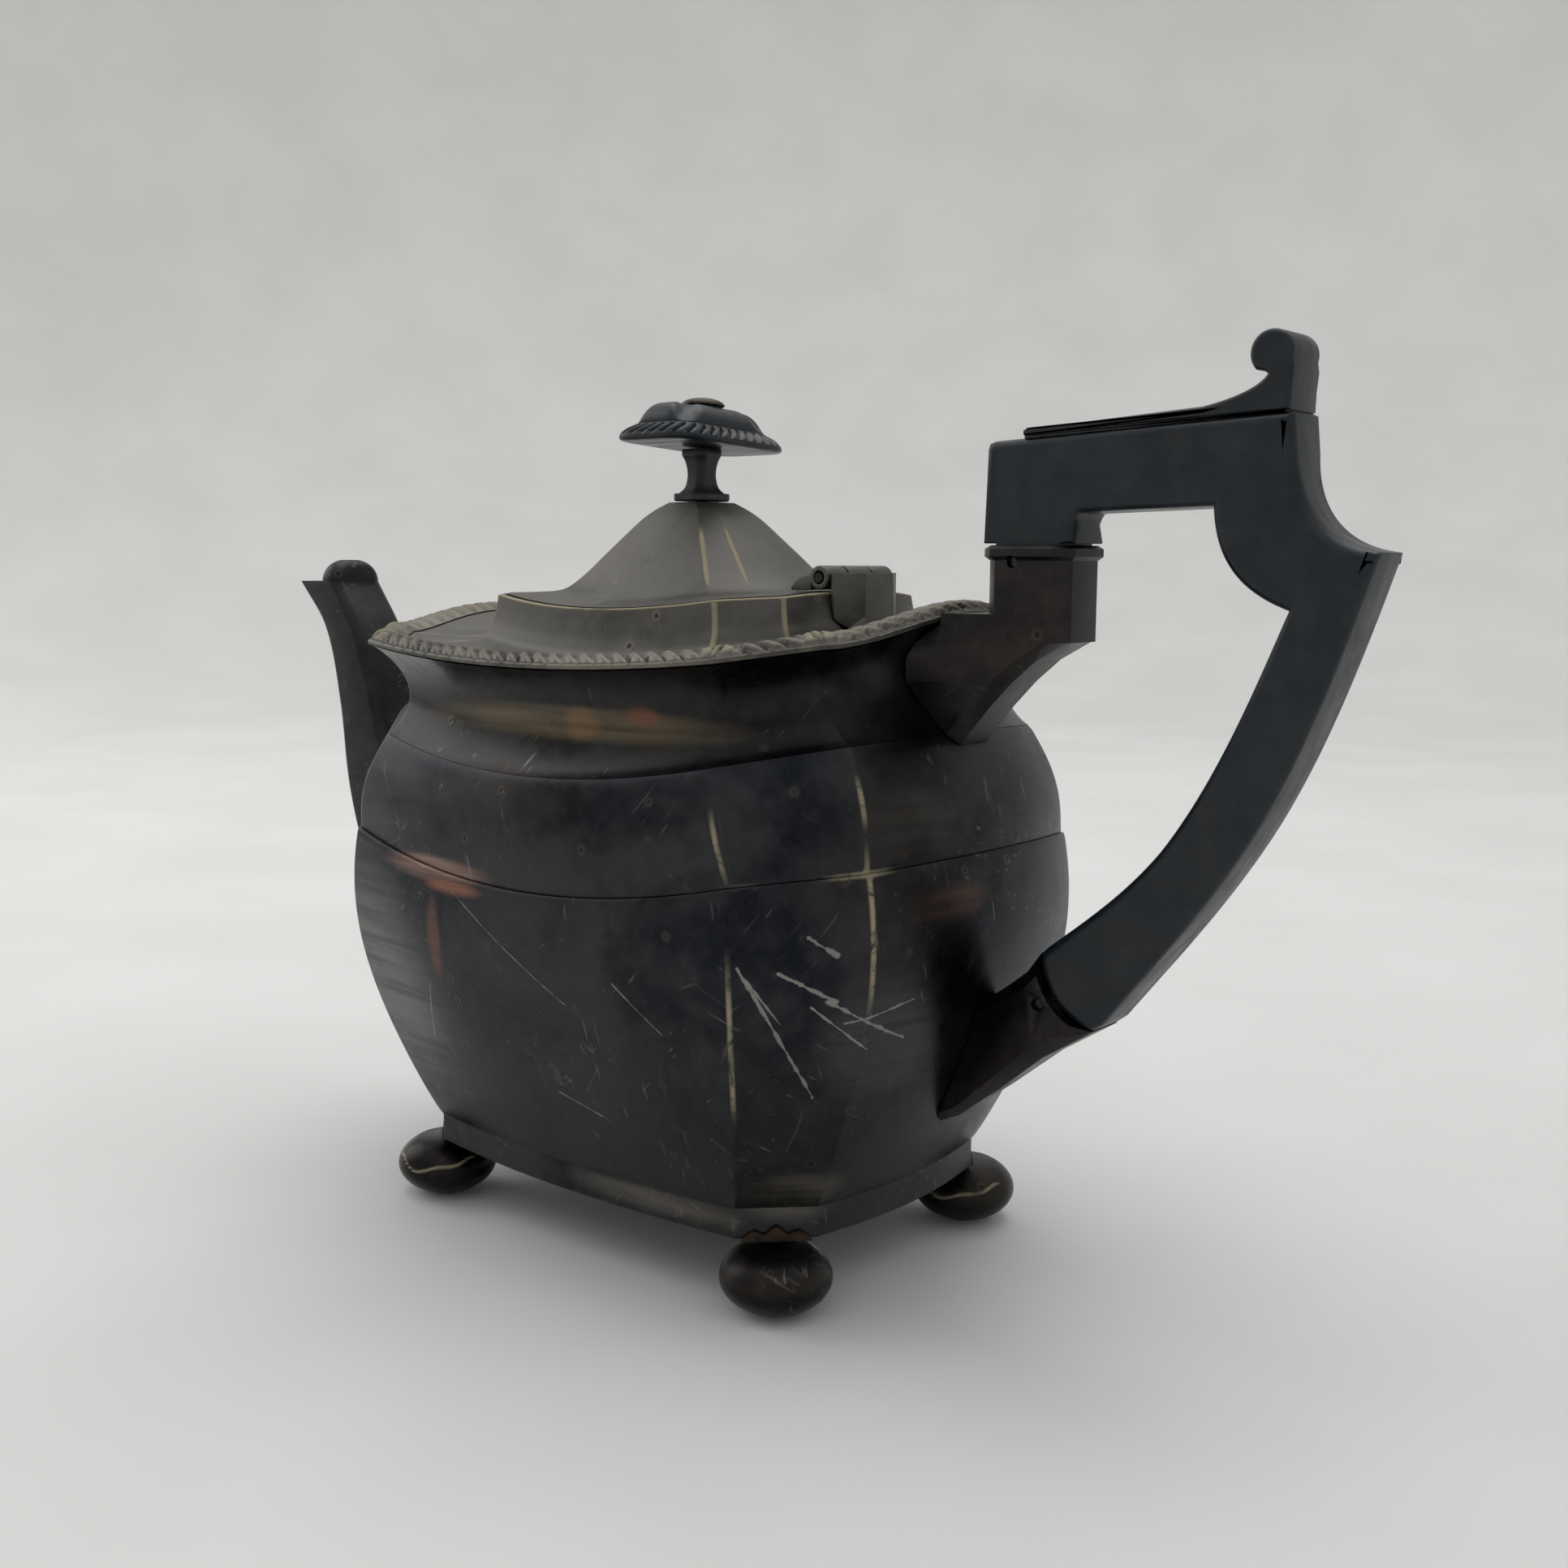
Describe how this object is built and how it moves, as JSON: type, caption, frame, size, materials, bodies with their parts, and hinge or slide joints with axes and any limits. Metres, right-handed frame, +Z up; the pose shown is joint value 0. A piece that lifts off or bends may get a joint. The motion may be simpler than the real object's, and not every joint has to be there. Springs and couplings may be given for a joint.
{
  "type": "teapot",
  "caption": "Oblong panelled silver-plated teapot with canted corners, ball feet, gadroon border, raised collar, hinged domed lid, flat-sided spout and ebonised wood handle and finial.",
  "frame": {"origin": "middle of the teapot's bounding box in plan, on the table", "axes": "+Z up; +X from the spout towards the handle; -Y and +Y are the two long sides"},
  "size_m": [0.2696, 0.1056, 0.1697],
  "materials": {
    "tarnished_silver_plate": "tarnished silver plate over nickel silver, dark brown-grey with pits and scratches",
    "pale_silver_plate": "duller, paler warm grey silver plate",
    "fixings": "plain metal pins, screw, washer and nut",
    "ebonised_wood": "black stained hardwood, satin"
  },
  "bodies": {
    "pot": {"lower_body": "tarnished_silver_plate", "upper_body": "tarnished_silver_plate", "base_plate": "tarnished_silver_plate", "neck_band": "tarnished_silver_plate", "top_cover": "pale_silver_plate", "gadroon_border": "pale_silver_plate", "foot_spout_near": "tarnished_silver_plate", "foot_seat_spout_near": "tarnished_silver_plate", "foot_spout_far": "tarnished_silver_plate", "foot_seat_spout_far": "tarnished_silver_plate", "foot_handle_near": "tarnished_silver_plate", "foot_seat_handle_near": "tarnished_silver_plate", "foot_handle_far": "tarnished_silver_plate", "foot_seat_handle_far": "tarnished_silver_plate", "spout": "tarnished_silver_plate", "spout_hood": "tarnished_silver_plate", "upper_handle_socket": "tarnished_silver_plate", "lower_handle_socket": "tarnished_silver_plate", "handle": "ebonised_wood", "thumb_rest": "ebonised_wood", "upper_handle_pin": "fixings", "lower_handle_pin": "fixings", "hinge_block": "pale_silver_plate", "hinge_knuckle_near": "pale_silver_plate", "hinge_knuckle_far": "pale_silver_plate", "hinge_pin": "pale_silver_plate"},
    "lid": {"lid_dome": "pale_silver_plate", "lid_bezel": "pale_silver_plate", "lid_hinge_leaf": "pale_silver_plate", "finial_stem": "ebonised_wood", "finial_knob": "ebonised_wood", "finial_screw": "fixings", "finial_washer": "fixings", "finial_nut": "fixings"}
  },
  "joints": [
    {"name": "lid_hinge", "type": "hinge", "parent": "pot", "child": "lid", "pos_m": [0.0329, 0, 0.1312], "axis": [0, 1, 0], "range_deg": [0, 90]}
  ]
}
